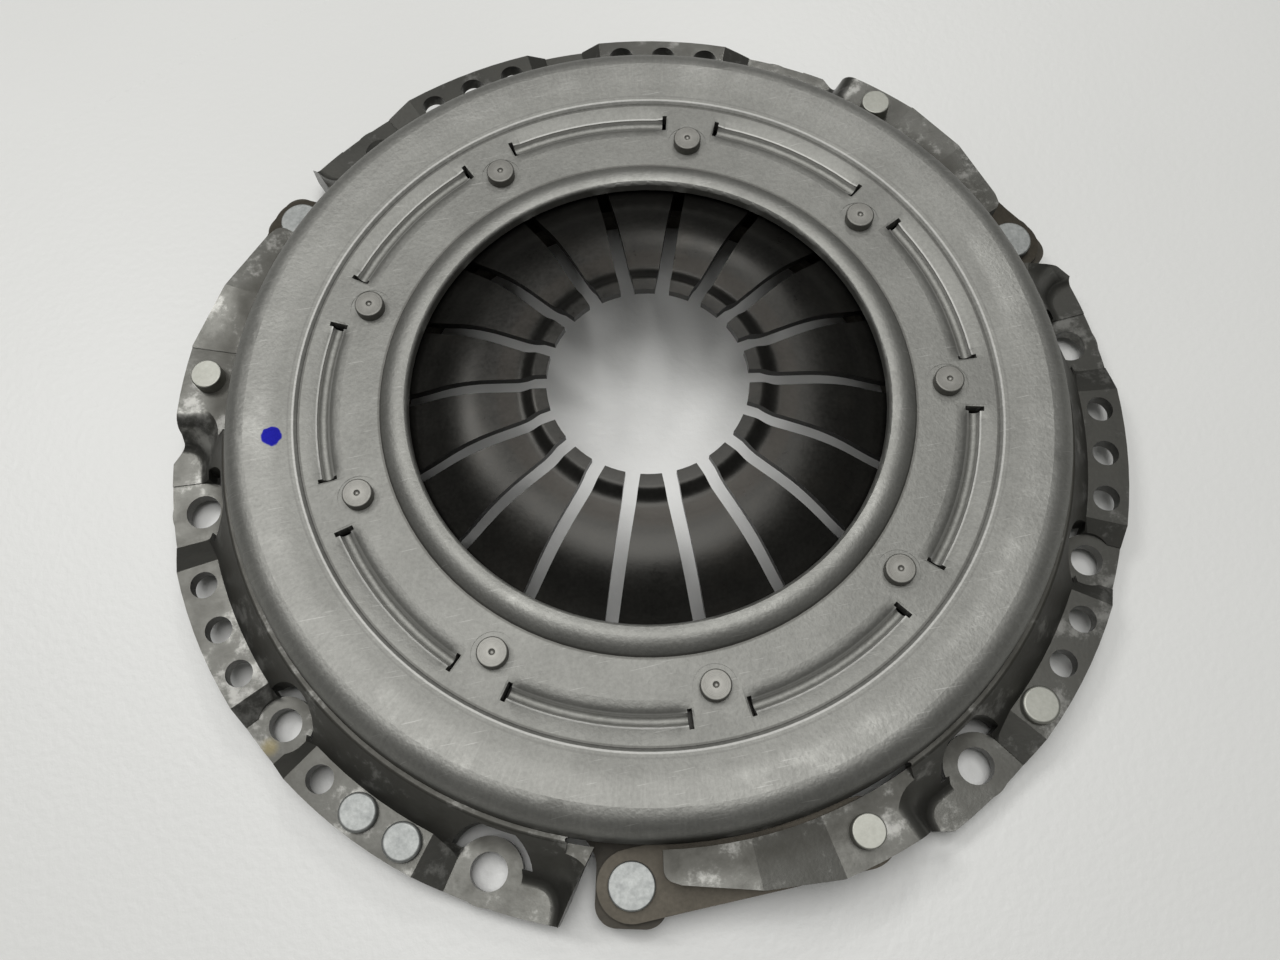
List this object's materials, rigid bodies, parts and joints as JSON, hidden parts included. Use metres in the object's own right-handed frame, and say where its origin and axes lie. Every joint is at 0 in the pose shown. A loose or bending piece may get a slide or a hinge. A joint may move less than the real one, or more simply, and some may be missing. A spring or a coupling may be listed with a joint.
{
  "type": "clutch pressure plate",
  "caption": "Diaphragm-spring clutch cover: a pressed steel cover bolts to the flywheel, and its slotted spring pushes a strap-hung pressure plate onto the clutch disc.",
  "frame": {"origin": "centre of the flywheel bolt circle, in the plane of the cover's mounting pads", "axes": "+Z along the clutch axis, away from the flywheel and towards the release bearing; +Y through the dowel pad of the first flange sector"},
  "size_m": [0.2958, 0.2905, 0.0432],
  "materials": {
    "cover_steel": "bead-blasted, lightly worn",
    "spring_steel": "dark, oiled",
    "wire_steel": "dark, oiled",
    "cast_iron_plate": "as cast, face ground",
    "shoulder_rivet_steel": "blasted",
    "strap_steel": "dark, oiled",
    "bright_rivet_steel": "bright",
    "zinc_rivet_steel": "zinc plated"
  },
  "bodies": {
    "cover": {"cover": "cover_steel", "diaphragm_spring": "spring_steel", "fulcrum_ring": "wire_steel", "shoulder_rivet_1": "shoulder_rivet_steel", "shoulder_rivet_2": "shoulder_rivet_steel", "shoulder_rivet_3": "shoulder_rivet_steel", "shoulder_rivet_4": "shoulder_rivet_steel", "shoulder_rivet_5": "shoulder_rivet_steel", "shoulder_rivet_6": "shoulder_rivet_steel", "shoulder_rivet_7": "shoulder_rivet_steel", "shoulder_rivet_8": "shoulder_rivet_steel", "shoulder_rivet_9": "shoulder_rivet_steel", "strap_1_leaf_1": "strap_steel", "strap_1_leaf_2": "strap_steel", "strap_1_leaf_3": "strap_steel", "strap_2_leaf_1": "strap_steel", "strap_2_leaf_2": "strap_steel", "strap_2_leaf_3": "strap_steel", "strap_3_leaf_1": "strap_steel", "strap_3_leaf_2": "strap_steel", "strap_3_leaf_3": "strap_steel", "strap_rivet_1": "bright_rivet_steel", "strap_rivet_2": "bright_rivet_steel", "strap_rivet_3": "bright_rivet_steel", "balance_rivet_1": "bright_rivet_steel", "balance_rivet_2": "bright_rivet_steel", "balance_rivet_3": "bright_rivet_steel"},
    "pressure_plate": {"pressure_plate": "cast_iron_plate", "lug_rivet_1": "zinc_rivet_steel", "lug_rivet_2": "zinc_rivet_steel", "lug_rivet_3": "zinc_rivet_steel"}
  },
  "joints": [
    {"name": "plate_lift", "type": "slide", "parent": "cover", "child": "pressure_plate", "axis": [0, 0, 1], "range_m": [0, 0.0054], "stiffness_N_per_m": 50000, "springref_m": -0.002, "deforming": ["diaphragm_spring", "strap_1_leaf_1", "strap_1_leaf_2", "strap_1_leaf_3", "strap_2_leaf_1", "strap_2_leaf_2", "strap_2_leaf_3", "strap_3_leaf_1", "strap_3_leaf_2", "strap_3_leaf_3"]}
  ]
}
